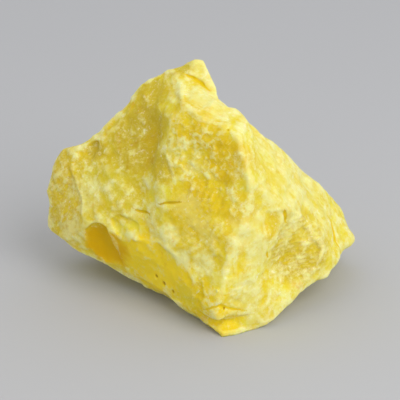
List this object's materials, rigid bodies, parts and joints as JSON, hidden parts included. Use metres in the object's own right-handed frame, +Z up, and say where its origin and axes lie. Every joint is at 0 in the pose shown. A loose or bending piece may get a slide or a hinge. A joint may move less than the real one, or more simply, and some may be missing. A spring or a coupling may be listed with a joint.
{
  "type": "native sulfur lump",
  "caption": "Angular lump of native sulfur with flat breaks, a blunt crown, a stepped left flank and a flat base to stand on.",
  "frame": {"origin": "centre of the bounding box, at the flat base the lump stands on", "axes": "+Z up, +X along the lump's longest extent towards its low right end, -Y towards its steep front breaks"},
  "size_m": [0.0834, 0.0616, 0.0643],
  "materials": {
    "sulfur": "dull, slightly waxy on fresh breaks"
  },
  "bodies": {
    "root": {"sulfur_lump": "sulfur"}
  },
  "joints": []
}
